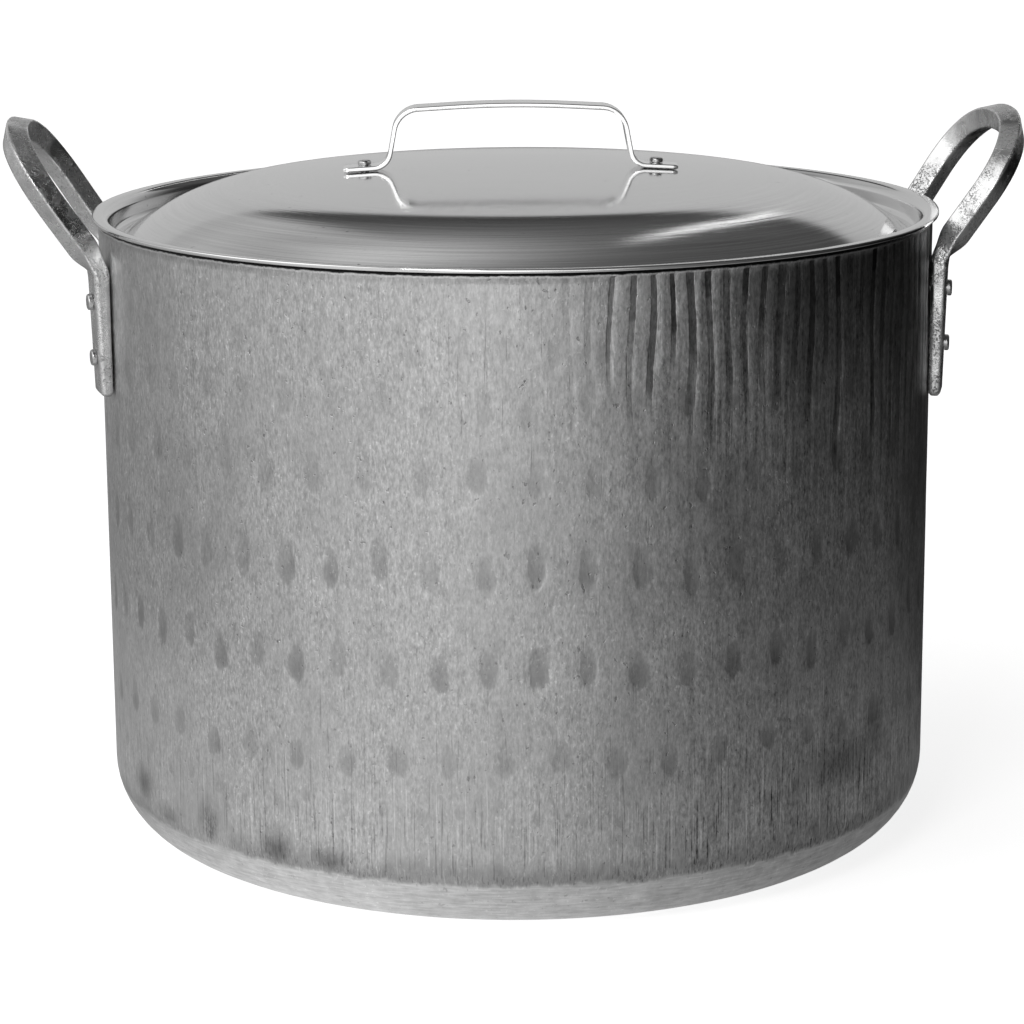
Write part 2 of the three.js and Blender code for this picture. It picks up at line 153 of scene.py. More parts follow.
def smoothstep(value, low, high):
    """0 below low, 1 above high, and between them three shares squared less two shares cubed."""
    share = np.clip((value - low) / (high - low), 0, 1)
    return share * share * (3 - 2 * share)


def revolve(profile, columns):
    """A profile of radius and height carried round the Z axis at even turns."""
    turn = np.arange(columns) * TURN / columns
    radius, height = profile[:, :1], profile[:, 1:]
    return np.stack([radius * np.cos(turn), radius * np.sin(turn),
                     np.broadcast_to(height, (len(profile), columns))], -1)


def moved(points, matrix):
    """Points turned and shifted by a matrix."""
    m = np.array(matrix)
    return points @ m[:3, :3].T + m[:3, 3]


def skin(name, grid, finish, body, node, marks=None, sharp=40):
    """Mesh over a grid of rings: rows run along the piece, the last column joins the first, and
    each end closes on the mean of its ring. Faces point outwards, by the sign of the volume.
    marks are named numbers on the grid that the finish reads."""
    rows, columns = grid.shape[:2]
    points = np.concatenate([grid.reshape(-1, 3), grid[[0, -1]].mean(1)])
    here = np.arange(rows * columns).reshape(rows, columns)
    beside = np.roll(here, -1, 1)
    first, last = np.full(columns, rows * columns), np.full(columns, rows * columns + 1)
    quads = np.stack([here[:-1], beside[:-1], beside[1:], here[1:]], -1).reshape(-1, 4)
    fans = np.concatenate([np.stack([beside[0], here[0], first], -1),
                           np.stack([here[-1], beside[-1], last], -1)])
    corners = np.concatenate([quads[:, [0, 1, 2]], quads[:, [0, 2, 3]], fans])
    a, b, c = (points[corners[:, i]] for i in range(3))
    if np.einsum("ij,ij->", a, np.cross(b, c)) < 0:
        quads, fans = quads[:, ::-1], fans[:, ::-1]
    mesh = bpy.data.meshes.new(name)
    mesh.from_pydata(points, [], quads.tolist() + fans.tolist())
    for key, values in (marks or {}).items():
        closed = np.concatenate([values.reshape(-1), values[[0, -1]].mean(1)])
        mesh.attributes.new(key, "FLOAT", "POINT").data.foreach_set(
            "value", closed.astype(np.float32))
    mesh.shade_smooth()
    mesh.set_sharp_from_angle(angle=math.radians(sharp))
    mesh.materials.append(finish)
    piece = bpy.data.objects.new(name, mesh)
    bpy.context.collection.objects.link(piece)
    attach(piece, body)
    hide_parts(node)
    return piece


class Value:
    """A number inside a finish. Sums with it become Math nodes."""

    def __init__(self, nodes, socket):
        self.nodes, self.socket = nodes, socket

    def __add__(self, other):
        return self.nodes.math("ADD", self, other)

    def __sub__(self, other):
        return self.nodes.math("SUBTRACT", self, other)

    def __rsub__(self, other):
        return self.nodes.math("SUBTRACT", other, self)

    def __mul__(self, other):
        return self.nodes.math("MULTIPLY", self, other)

    def __truediv__(self, other):
        return self.nodes.math("DIVIDE", self, other)

    def __pow__(self, other):
        return self.nodes.math("POWER", self, other)

    __radd__ = __add__
    __rmul__ = __mul__


class Nodes:
    """Writes the node tree of a material or of the world."""

    def __init__(self, owner):
        owner.use_nodes = True
        self.tree = owner.node_tree
        self.tree.nodes.clear()

    def node(self, kind, settings=None, sockets=None, output=0):
        """Makes any node: its settings first, then its sockets, and hands back one output."""
        made = self.tree.nodes.new(kind)
        for key, value in (settings or {}).items():
            setattr(made, key, value)
        for key, value in (sockets or {}).items():
            if isinstance(value, Value):
                self.tree.links.new(value.socket, made.inputs[key])
            else:
                made.inputs[key].default_value = value
        return Value(self, made.outputs[output]) if made.outputs else made

    def math(self, operation, *values):
        return self.node("ShaderNodeMath", {"operation": operation}, dict(enumerate(values)))

    def smooth(self, value, low, high):
        """A soft threshold: 0 at low, 1 at high, either of them a number or a value."""
        return self.node("ShaderNodeMapRange", {"interpolation_type": "SMOOTHSTEP"},
                         {"Value": value, "From Min": low, "From Max": high})

    def scaled(self, vector, *scale):
        return self.node("ShaderNodeVectorMath", {"operation": "MULTIPLY"},
                         {0: vector, 1: scale})

    def noise(self, vector, detail=2.0, roughness=0.5):
        """Soft noise between 0 and 1, with one feature for each unit of the vector."""
        return self.node("ShaderNodeTexNoise", None,
                         {"Vector": vector, "Scale": 1.0, "Detail": detail,
                          "Roughness": roughness})

    def joined(self, x, y, z):
        return self.node("ShaderNodeCombineXYZ", None, {0: x, 1: y, 2: z})

    def parts(self, vector):
        """The three numbers of a vector."""
        split = self.node("ShaderNodeSeparateXYZ", None, {0: vector}).socket.node
        return [Value(self, out) for out in split.outputs]

    def grey(self, level):
        """A neutral colour whose brightness is the level."""
        return self.node("ShaderNodeCombineColor", None, {0: level, 1: level, 2: level})

    def mark(self, name):
        """A named number that the mesh carries."""
        return self.node("ShaderNodeAttribute", {"attribute_name": name}, output=2)

    def bump(self, height, depth, strength=1.0, under=None):
        """Normal of a relief: height between 0 and 1 stands for a depth in metres."""
        sockets = {"Height": height, "Distance": depth, "Strength": strength}
        if under is not None:
            sockets["Normal"] = under
        return self.node("ShaderNodeBump", None, sockets)


def metal(material, nodes, level, roughness, normal):
    """Closes a finish: bare metal of a grey level, its roughness and its relief."""
    shader = nodes.node("ShaderNodeBsdfPrincipled", None,
                        {"Base Color": nodes.grey(level), "Metallic": 1.0,
                         "Roughness": roughness, "Normal": normal})
    nodes.node("ShaderNodeOutputMaterial", None, {"Surface": shader})
    return material


def begin(name):
    """A new finish, the writer of its nodes and the place on the piece in metres."""
    material = bpy.data.materials.new(name)
    nodes = Nodes(material)
    place = nodes.node("ShaderNodeTexCoord", output=3)
    return material, nodes, place


def flute_line(nodes, x, y, height):
    """Place across the flutes as the mesh has it: from -1 over the valley's line at 0 to 1, with
    the ridges at both ends."""
    azimuth = nodes.math("ARCTAN2", x, y * -1)
    wave = azimuth * flute_waves + height * flute_wave_slant
    sway = nodes.math("SINE", wave) * (flute_sway / wall_radius)
    turn = (azimuth + sway) * (flute_count / TURN)
    return (turn - nodes.math("ROUND", turn)) * 2


# Depths of the reliefs
wall_relief = 0.1 * MM
mark_relief = -0.28 * MM  # inwards
inside_relief = 0.02 * MM
lid_relief = 0.042 * MM
strap_relief = 0.03 * MM
cast_relief, cast_swell_relief = 0.26 * MM, 0.4 * MM
rivet_relief = 0.12 * MM

# How much of the bare wall's brightness each of these takes away: painted shade in the hammer marks
# and the flute valleys, real soot, and a painted shadow under the lid's flange
mark_shade_dulling = 0.32
flute_shade_dulling = 0.88
soot_dulling = 0.68
flange_shadow_dulling = 0.97

# Between which heights each change of the wall's finish goes on, and the painted shade, painted
# shadow and painted highlight under the rim,
bare_corner_top = (23.8 * MM, 26.8 * MM)
sooty_top = (28 * MM, 40 * MM)
scored_top = (45 * MM, 120 * MM)
lighter_low_left_top = (85 * MM, 150 * MM)
drawn_start = (160 * MM, 240 * MM)
right_shade_start = (220 * MM, 287 * MM)
lip_highlight_start, lip_highlight_end = (292.4 * MM, 293 * MM), (293.2 * MM, 293.5 * MM)
flange_shadow_start, flange_shadow_end = (293.4 * MM, 293.8 * MM), (294.7 * MM, 294.85 * MM)

# how far noise frays them
bare_corner_frays = (8 * MM, 5 * MM)
sooty_fray, scored_fray, drawn_fray = 30 * MM, 60 * MM, 100 * MM
rim_paint_frays = (1.2 * MM, 0.6 * MM)

# and how far to the right or the left of the middle
right_start = (10 * MM, 90 * MM)
right_shade_side_start = (65 * MM, 125 * MM)
lighter_low_left_start = (120 * MM, 178 * MM)


def hammered_wall():
    """Outside of the pot: brushed upright, with painted shade in the hammer marks and the flute
    valleys, a painted highlight on the flutes' ridges, scored low down, sooty over the base corner,
    polished bare on the corner itself, with a painted highlight on the rim's edge and a painted
    shadow under the lid's flange. It is lighter low on the left, and has painted shade with upright
    streaks high on the right."""
    material, nodes, place = begin("hammered_wall")
    x, y, height = nodes.parts(place)
    brush = nodes.noise(nodes.scaled(place, 1150, 1150, 420), 2, 0.6)
    strand = nodes.noise(nodes.scaled(place, 560, 560, 210), 2, 0.6)
    scratch = nodes.noise(nodes.scaled(place, 1150, 1150, 30), 1)
    cloud = nodes.noise(nodes.scaled(place, 24, 24, 15), 4, 0.62)
    blotch = nodes.noise(nodes.scaled(place, 150, 150, 90), 3, 0.6)
    speck = nodes.noise(nodes.scaled(place, 760, 760, 520), 1)
    pit = nodes.noise(nodes.scaled(place, 430, 430, 330), 2)
    around = nodes.noise(nodes.scaled(place, 90, 90, 900), 3, 0.6)

    frayed_height = (height + (blotch - 0.5) * bare_corner_frays[0]
                     + (cloud - 0.5) * bare_corner_frays[1])
    corner = 1 - nodes.smooth(frayed_height, *bare_corner_top)
    wall = 1 - corner
    low = 1 - nodes.smooth(height + (cloud - 0.5) * scored_fray, *scored_top)
    patch = nodes.smooth(cloud, 0.34, 0.66)
    lines = nodes.smooth(scratch, 0.7 - low * 0.1, 0.78 - low * 0.1) * wall
    glints = nodes.smooth(1 - scratch, 0.7 - low * 0.08, 0.78 - low * 0.08) * wall
    specks = nodes.smooth(speck, 0.63, 0.75) * (0.4 + patch * 0.6)
    pits = nodes.smooth(pit, 0.68, 0.74)

    reach = nodes.math("SQRT", nodes.mark("mark_side") ** 2 + nodes.mark("mark_rise") ** 2)
    frayed = reach + (blotch - 0.5) * 0.55 + (strand - 0.5) * 0.3
    # A mark smooths the grain and darkens the finish as painted shade, most at its lower end.
    mark = ((1 - nodes.smooth(frayed, 0.68, 1.0)) * 0.8
            + (1 - nodes.smooth(frayed, 0.2, 0.8)) * 0.2) * nodes.mark("mark_force")

    line = flute_line(nodes, x, y, height)
    width = nodes.mark("flute_width")
    across = nodes.math("ABSOLUTE", line) + (strand - 0.5) * 0.1 + (blotch - 0.5) * 0.2
    ragged = (blotch - 0.5) * 0.25
    shallow = 1 - nodes.smooth(nodes.mark("flute_end") + ragged, 0.78, 1.0)
    deep = 1 - nodes.smooth(nodes.mark("flute_deep") + ragged, 0.86, 1.0)
    force = nodes.mark("flute_force")
    # The valley presses the flutes in as relief and darkens them as painted shade.
    valley = ((1 - nodes.smooth(across, width - 0.08, width + 0.05))
              * (shallow * 0.55 + deep * 0.45) * force)
    # A painted highlight along one edge of each flute's ridge.
    ridge_highlight = (nodes.smooth(line, width + 0.02, width + 0.12)
             * (1 - nodes.smooth(line, width + 0.12, width + 0.4))
             * shallow * force * nodes.smooth(blotch, 0.42, 0.6))

    sooty_base = 1 - nodes.smooth(height + (cloud - 0.5) * sooty_fray, *sooty_top)
    sooty = nodes.math("MAXIMUM", nodes.mark("soot"), sooty_base * 0.5)
    soot = sooty * nodes.smooth(cloud + (brush - 0.5) * 0.5, 0.24, 0.52) * wall
    jagged = height + (blotch - 0.5) * rim_paint_frays[0] + (strand - 0.5) * rim_paint_frays[1]
    # A painted shadow under the lid's flange: the top of the rim is darkened almost to black.
    flange_shadow = nodes.smooth(jagged, *flange_shadow_start) * (1 - nodes.smooth(height, *flange_shadow_end))
    # A painted highlight along the rim's rounded outer edge.
    lip_highlight = nodes.smooth(jagged, *lip_highlight_start) * (1 - nodes.smooth(jagged, *lip_highlight_end))

    streak = nodes.smooth(nodes.noise(nodes.scaled(place, 330, 330, 9), 2), 0.4, 0.62)
    right = nodes.smooth(x, *right_start)
    drawn = right * nodes.smooth(height + (cloud - 0.5) * drawn_fray, *drawn_start)
    # The wall is made lighter low on the left.
    lighter_low_left = (nodes.smooth(x * -1, *lighter_low_left_start)
              * (1 - nodes.smooth(height, *lighter_low_left_top)) * wall)
    # Painted shade high on the right under the rim, broken by upright streaks.
    right_shade = (nodes.smooth(x, *right_shade_side_start) * nodes.smooth(height, *right_shade_start)
            * (0.38 + streak * 0.26))

    threads = (scratch - 0.5) * drawn * 0.34
    scored = 1 + right * 1.2
    grain_force = ((0.56 + patch * 0.46 - low * 0.16 + right * (0.44 + low * 0.4))
                   * (1 - mark * 0.6))
    grain = ((brush - 0.5) * 0.56 + (strand - 0.5) * 0.34) * grain_force
    uneven = ((cloud - 0.5) * 0.11 + (blotch - 0.5) * 0.17) * (1 + right * 0.8 + corner * 0.9)
    level = (0.47 + uneven + grain * wall + threads + lighter_low_left * 0.16
             + (streak - 0.5) * (right * wall * 0.06 + drawn * 0.15)
             + (around - 0.5) * 0.5 * corner + specks * 0.15 + glints * (0.04 + low * scored * 0.08)
             - pits * 0.14 - lines * (0.04 + low * scored * 0.1) + ridge_highlight * 0.34 + corner * 0.13
             + lip_highlight * 0.16)
    # Painted shade darkens the hammer marks, the flute valleys and the wall high on the right, a
    # painted shadow darkens the rim under the lid's flange, and soot is real.
    level = (level * (1 - mark * mark_shade_dulling) * (1 - valley * flute_shade_dulling)
             * (1 - soot * soot_dulling) * (1 - flange_shadow * flange_shadow_dulling) * (1 - right_shade))
    roughness = 0.4 + (cloud - 0.5) * 0.14 + (brush - 0.5) * 0.14 - corner * 0.04
    relief = ((brush * 0.3 + strand * 0.3 - lines * 0.5) * wall - pits + blotch * 0.8
              + specks * 0.4 + around * 0.6 * corner)
    fine = nodes.bump(relief, wall_relief)
    normal = nodes.bump(mark * 0.7 + valley, mark_relief, 0.6, fine)
    return metal(material, nodes, level, roughness, normal)


def plain_inside():
    """Inside of the pot: turned sheet with rings on the floor and uprights on the wall."""
    material, nodes, place = begin("plain_inside")
    x, y, height = nodes.parts(place)
    radius = nodes.math("SQRT", x * x + y * y)
    rings = nodes.noise(nodes.joined(radius * 900, height * 700, 0.0), 2)
    cloud = nodes.noise(nodes.scaled(place, 18, 18, 18), 3)
    level = 0.6 + (rings - 0.5) * 0.08 + (cloud - 0.5) * 0.08
    normal = nodes.bump(rings, inside_relief)
    return metal(material, nodes, level, 0.36 + (cloud - 0.5) * 0.1, normal)


# Radii between which the lid's rings grow coarse, and grow fine again
coarse_start, coarse_end = (100 * MM, 165 * MM), (182 * MM, 190 * MM)


def turned_lid():
    """Polished sheet with the fine rings of turning, coarser towards the rim, mostly at the
    front."""
    material, nodes, place = begin("turned_lid")
    x, y, height = nodes.parts(place)
    radius = nodes.math("SQRT", x * x + y * y)
    worn = 0.25 + nodes.smooth(y / radius * -1, 0.25, 0.85) * 0.75
    outer = nodes.smooth(radius, *coarse_start) * (1 - nodes.smooth(radius, *coarse_end)) * worn
    rings = nodes.noise(nodes.joined(radius * 1900, x / radius * 2.4, y / radius * 2.4), 2, 0.6)
    bands = nodes.noise(nodes.joined(radius * 620, x / radius * 1.6, y / radius * 1.6), 2, 0.6)
    cloud = nodes.noise(nodes.scaled(place, 16, 16, 16), 3)
    grain = nodes.noise(nodes.scaled(place, 700, 700, 700), 2)
    nick = nodes.smooth(nodes.noise(nodes.scaled(place, 330, 330, 330), 1), 0.77, 0.81)
    level = (0.74 + (rings - 0.5) * (0.08 + outer * 0.26) + (bands - 0.5) * (0.05 + outer * 0.34)
             + (cloud - 0.5) * 0.05 + (grain - 0.5) * 0.06 - nick * 0.3)
    roughness = 0.1 + (rings - 0.5) * 0.06 + (cloud - 0.5) * 0.06 + outer * 0.04
    relief = (rings * 0.5 + bands) * (0.14 + outer * 0.86) - nick * 0.5
    normal = nodes.bump(relief, lid_relief)
    return metal(material, nodes, level, roughness, normal)


def polished_strap():
    """Bent strap, polished along its length."""
    material, nodes, place = begin("polished_strap")
    grain = nodes.noise(nodes.scaled(place, 120, 1500, 700), 2)
    cloud = nodes.noise(nodes.scaled(place, 60, 60, 60), 3)
    level = 0.93 + (grain - 0.5) * 0.06 + (cloud - 0.5) * 0.06
    normal = nodes.bump(grain * 0.5 + cloud, strap_relief)
    return metal(material, nodes, level, 0.16 + (cloud - 0.5) * 0.1, normal)


def cast_loop():
    """Cast and tumbled bright: smooth faces that break into fine pits and grains in patches."""
    material, nodes, place = begin("cast_loop")
    patch = nodes.noise(nodes.scaled(place, 70, 70, 70), 3, 0.6)
    grain = nodes.noise(nodes.scaled(place, 1500, 1500, 1500), 2, 0.6)
    crumb = nodes.noise(nodes.scaled(place, 760, 760, 760), 2, 0.6)
    swell = nodes.noise(nodes.scaled(place, 150, 150, 150), 3)
    pitted = nodes.smooth(patch, 0.36, 0.6)
    pits = nodes.smooth(grain * 0.6 + crumb * 0.4, 0.5, 0.62) * pitted
    level = 0.66 + (swell - 0.5) * 0.26 + (grain - 0.5) * 0.24 - pits * 0.34
    roughness = 0.2 + pitted * 0.1 + (swell - 0.5) * 0.12
    fine = nodes.bump((grain * 0.5 + crumb * 0.8) * (0.4 + pitted * 0.6) - pits, cast_relief)
    normal = nodes.bump(swell, cast_swell_relief, 0.5, fine)
    return metal(material, nodes, level, roughness, normal)


def set_rivet():
    """Struck rivet: a bright head with a dull, slightly uneven face."""
    material, nodes, place = begin("set_rivet")
    grain = nodes.noise(nodes.scaled(place, 900, 900, 900), 3)
    level = 0.5 + (grain - 0.5) * 0.2
    normal = nodes.bump(grain, rivet_relief)
    return metal(material, nodes, level, 0.28 + (grain - 0.5) * 0.2, normal)


def repeated(turn, count, first):
    """Splits the turn into count equal sectors, one of them centred on first. Gives the sector
    that each turn is in and its angle from that sector's middle."""
    sector = np.round((turn - first) * count / TURN)
    return sector.astype(int) % count, turn - first - sector * TURN / count


# Rows of hammer marks, from the rim down: height of the row, azimuth of one mark, marks in the
# row, half width and half height of a mark, and its depth
hammer_rows = (
    (261 * MM, math.radians(-11.0), 59, 4.2 * MM, 8.0 * MM, 0.10 * MM),
    (236 * MM, math.radians(-8.2), 55, 4.6 * MM, 9.0 * MM, 0.12 * MM),
    (205 * MM, math.radians(-8.4), 50, 4.8 * MM, 11.0 * MM, 0.22 * MM),
    (164 * MM, math.radians(-1.4), 54, 4.9 * MM, 11.5 * MM, 0.30 * MM),
    (121 * MM, math.radians(-1.0), 56, 5.0 * MM, 10.5 * MM, 0.34 * MM),
    (79 * MM, math.radians(1.8), 51, 5.0 * MM, 9.0 * MM, 0.26 * MM),
    (57 * MM, math.radians(-6.0), 70, 3.4 * MM, 4.6 * MM, 0.16 * MM),
)
mark_drift = 0.8 * MM  # how far a mark strays sideways
mark_lift = 2.0 * MM  # and up or down
mark_full_depth = 0.3 * MM  # of a mark whose force is 1
mark_width_shares = (0.85, 1.12)  # least and most of the row's width
mark_force_shares = (0.6, 1.15)
mark_up_share, mark_down_share = 1.15, 0.85  # reach of a mark above and below its middle
# The force, and with it the painted shade of a mark, fades towards its upper end.
mark_fading_share = 0.45  # of its force, from its middle to its upper end


def hammer_marks(azimuth, height):
    """The hammer marks: ovals, blunt below and drawn out above, in rows. Gives how far each point
    lies from its mark's middle, sideways and upwards, as shares of half the mark's width and
    height, how strongly it is struck, weighted towards its lower end where the finish paints the
    mark darker as painted shade, and its depth: full inside, and falling by smoothstep to 0
    where the squares of the two shares sum to 1."""
    levels = np.array([row[0] for row in hammer_rows])
    nearest = np.abs(height[..., None] - levels).argmin(-1)
    side, rise, force, depth = (np.zeros(height.shape) for _ in range(4))
    for i, (level, first, count, half_width, half_height, deep) in enumerate(hammer_rows):
        sector, angle = repeated(azimuth, count, first)
        drift, lift = draw.normal(0, mark_drift, count), draw.normal(0, mark_lift, count)
        wide = half_width * draw.uniform(*mark_width_shares, count)
        strong = draw.uniform(*mark_force_shares, count)
        up = height - level - lift[sector]
        tall = np.where(up > 0, mark_up_share, mark_down_share) * half_height
        here = nearest == i
        side = np.where(here, np.abs(angle * wall_radius - drift[sector]) / wide[sector], side)
        rise = np.where(here, np.abs(up) / tall, rise)
        lower = 1 - mark_fading_share * smoothstep(up / half_height, -0.4, 0.9)
        force = np.where(here, strong[sector] * lower * deep / mark_full_depth, force)
        inside = 1 - smoothstep(np.hypot(side, rise), 0.6, 1.05)
        depth = np.where(here, deep * strong[sector] * inside, depth)
    return side, rise, force, depth


flute_count = 138
flute_depth = 0.26 * MM
flute_reach = (40 * MM, 120 * MM)  # shortest and longest, down from the rim
flute_deep_reach = (10 * MM, 58 * MM)  # of their darker upper part
flute_sway, flute_waves, flute_wave_slant = 1.1 * MM, 17, 70
flute_width_shares = (0.24, 0.52)
flute_force_shares = (0.35, 1.0)
flute_least_force = 0.06  # away from the right of the pot
flute_right_start = (math.radians(-2), math.radians(16))
flute_right_end = (math.radians(150), math.radians(180))


def flutes(azimuth, height):
    """The upright flutes under the rim: one swaying valley in each sector, from the rim to its own
    end, deepest on the right of the pot. Gives the share of its length, the share of its darker
    part's length, its half width as a share of half the sector, its force and its depth."""
    sway = flute_sway * np.sin(azimuth * flute_waves + height * flute_wave_slant) / wall_radius
    sector, angle = repeated(azimuth + sway, flute_count, 0.0)
    across = np.abs(angle) * flute_count / math.pi
    end = (rim_height - height) / draw.uniform(*flute_reach, flute_count)[sector]
    deep = (rim_height - height) / draw.uniform(*flute_deep_reach, flute_count)[sector]
    width = draw.uniform(*flute_width_shares, flute_count)[sector]
    right = smoothstep(azimuth, *flute_right_start) * (1 - smoothstep(azimuth, *flute_right_end))
    force = (draw.uniform(*flute_force_shares, flute_count)[sector]
             * (flute_least_force + (1 - flute_least_force) * right))
    open_share = (1 - smoothstep(across, 0.1, 0.8)) * (1 - smoothstep(end, 0.55, 1))
    return end, deep, width, force, flute_depth * force * open_share


# Soot over the base corner: azimuth, height, half width along the wall, half height, strength
soot_smudges = (
    (math.radians(-66), 40 * MM, 9 * MM, 8 * MM, 0.9),
    (math.radians(-58), 31 * MM, 16 * MM, 5 * MM, 0.7),
    (math.radians(-49), 35 * MM, 8 * MM, 12 * MM, 1.0),
    (math.radians(-37), 32 * MM, 10 * MM, 8 * MM, 1.0),
    (math.radians(-29), 31 * MM, 12 * MM, 6 * MM, 0.9),
    (math.radians(-16), 29 * MM, 30 * MM, 4 * MM, 0.6),
    (math.radians(14), 31 * MM, 40 * MM, 4 * MM, 0.45),
    (math.radians(44), 62 * MM, 24 * MM, 10 * MM, 0.75),
    (math.radians(52), 70 * MM, 8 * MM, 12 * MM, 0.6),
)


def soot(azimuth, height):
    """Strength of the soot: soft ovals whose share falls as the exponential of minus the sum of
    squared shares of width and height."""
    share = np.zeros(np.broadcast(azimuth, height).shape)
    for middle, level, half_width, half_height, strength in soot_smudges:
        side = (azimuth - middle) * wall_radius / half_width
        rise = (height - level) / half_height
        share = np.maximum(share, strength * np.exp(-side ** 2 - rise ** 2))
    return share


def pot_wall():
    """The pot: its profile runs from the middle of the underside out round the base corner, up
    the wall, over the rim and down the inside. Marks press the outer wall inwards."""
    inner_radius = wall_radius - wall_sheet
    corner = (wall_radius - base_corner, base_corner)
    inner_corner = base_corner - wall_sheet
    rim_round = rim_radius - inner_radius - rim_inner_round - rim_flat
    rim_foot = rim_height - rim_depth - rim_blend
    outside = np.concatenate([
        [(radius, 0) for radius in base_rings],
        arc(corner, base_corner, -math.pi / 2, 0, 15),
        run((wall_radius, base_corner), (wall_radius, rim_foot), wall_rows),
        [(wall_radius, rim_foot)],
    ])
    inside = np.concatenate([
        [(rim_radius, rim_height - rim_depth)],
        arc((rim_radius - rim_round, rim_height - rim_round), rim_round, 0, math.pi / 2, 4),
        arc((inner_radius + rim_inner_round, rim_height - rim_inner_round), rim_inner_round,
            math.pi / 2, math.pi, 5),
        run((inner_radius, rim_height - rim_inner_round), (inner_radius, base_corner), 5),
        arc((corner[0], base_corner), inner_corner, 0, -math.pi / 2, 7),
        [(radius, wall_sheet) for radius in floor_rings],
    ])
    grid = revolve(np.concatenate([outside, inside]), wall_columns)
    azimuth = np.arctan2(grid[..., 0], -grid[..., 1])
    height = grid[..., 2]
    marks_start = base_corner * marks_start_share
    on_wall = (np.arange(len(grid)) < len(outside))[:, None] & (height > marks_start)
    side, rise, force, dents = hammer_marks(azimuth, height)
    end, deep, width, flute_force, valleys = flutes(azimuth, height)
    pressed = np.where(on_wall, dents + valleys, 0)
    grid[..., :2] *= (1 - pressed / wall_radius)[..., None]
    marks = {"mark_side": side, "mark_rise": rise, "mark_force": force * on_wall,
             "flute_end": end, "flute_deep": deep, "flute_width": width,
             "flute_force": flute_force * on_wall,
             "soot": np.where(on_wall, soot(azimuth, height), 0)}
    pot = skin("pot_wall", grid, hammered_wall(), "pot", "pot_shell", marks)
    pot.data.materials.append(plain_inside())
    inner = np.repeat(np.arange(len(grid) - 1) >= len(outside) + 3, wall_columns)
    slot = np.concatenate([inner, np.zeros(wall_columns), np.ones(wall_columns)])
    pot.data.polygons.foreach_set("material_index", slot.astype(np.int32))
    return pot


shoulder_start = wall_radius - wall_sheet - shoulder_span
crown_turn = math.asin(shoulder_start / crown_radius)
shoulder_centre = np.array([
    shoulder_start - shoulder_radius * math.sin(crown_turn),
    crown_top - crown_radius + (crown_radius - shoulder_radius) * math.cos(crown_turn)])
channel_x = step_radius - lid_sheet - channel_bend
channel_turn = math.asin((channel_x - shoulder_centre[0]) / (shoulder_radius + channel_bend))
channel_centre = np.array([
    channel_x, shoulder_centre[1] + (shoulder_radius + channel_bend) * math.cos(channel_turn)])


def lid_side(offset):
    """One side of the lid's sheet from its middle outwards: crown arc, shoulder arc, the channel's
    arc that touches it, and the bend up to the flange, each moved square to itself by an
    offset."""
    up = math.pi / 2
    bend = (step_radius + step_bend, flange_top - lid_sheet - step_bend)
    crown = arc((0, crown_top - crown_radius), crown_radius - offset, up, up - crown_turn, 16)
    return np.concatenate([
        crown[1:],
        arc(shoulder_centre, shoulder_radius - offset, up - crown_turn, up - channel_turn, 22)[1:],
        arc(channel_centre, channel_bend + offset, -up - channel_turn, 0, 14),
        arc(bend, step_bend + lid_sheet - offset, math.pi, up, 9),
    ])


def lid_dome():
    """The lid: the underside outwards, round the flange's edge, and the upper side back."""
    edge = flange_radius - flange_edge
    profile = np.concatenate([
        lid_side(lid_sheet),
        arc((edge, flange_top - lid_sheet + flange_edge), flange_edge, -math.pi / 2, 0, 4),
        arc((edge, flange_top - flange_edge), flange_edge, 0, math.pi / 2, 4),
        lid_side(0)[::-1],
    ])
    return skin("lid_dome", revolve(profile, lid_columns), turned_lid(), "lid", "lid_shell")


def rounded(corners, radii, step):
    """A path through corners, each rounded by the arc that touches both of its sides, as points
    a step apart."""
    corners = np.asarray(corners)
    path = [corners[:1]]
    for i, radius in enumerate(radii, 1):
        before = corners[i - 1] - corners[i]
        after = corners[i + 1] - corners[i]
        before, after = before / np.hypot(*before), after / np.hypot(*after)
        half = math.acos(before @ after) / 2
        middle = before + after
        centre = corners[i] + middle / np.hypot(*middle) * radius / math.sin(half)
        start, stop = (corners[i] + side * radius / math.tan(half) - centre
                       for side in (before, after))
        first = math.atan2(start[1], start[0])
        turn = (math.atan2(stop[1], stop[0]) - first + 3 * math.pi) % TURN - math.pi
        path.append(arc(centre, radius, first, first + turn, 14))
    path.append(corners[-1:])
    return evenly(np.concatenate(path), step)


def evenly(path, step, *carried):
    """The same path with points at even lengths along it, and other numbers carried along."""
    length = np.concatenate([[0], np.cumsum(np.linalg.norm(np.diff(path, axis=0), axis=1))])
    stops = np.linspace(0, length[-1], int(round(length[-1] / step)) + 1)
    columns = np.hstack([path, *carried]).T
    return np.stack([np.interp(stops, length, column) for column in columns], 1)


def tangents(path):
    """Unit directions along a path, from the point before to the point after."""
    along = np.gradient(path, axis=0)
    return along / np.linalg.norm(along, axis=1, keepdims=True)


def crown_height(x):
    """Height of the lid's crown at a distance from its middle: a circle's."""
    return crown_top - crown_radius + math.sqrt(crown_radius ** 2 - x ** 2)


rivet_x = strap_span / 2 - strap_rivet_inset
strap_seat_turn = math.asin(rivet_x / crown_radius)
lid_frame = Matrix.Rotation(lid_turn, 4, "Z") @ Matrix.Translation((strap_shift, 0, 0))


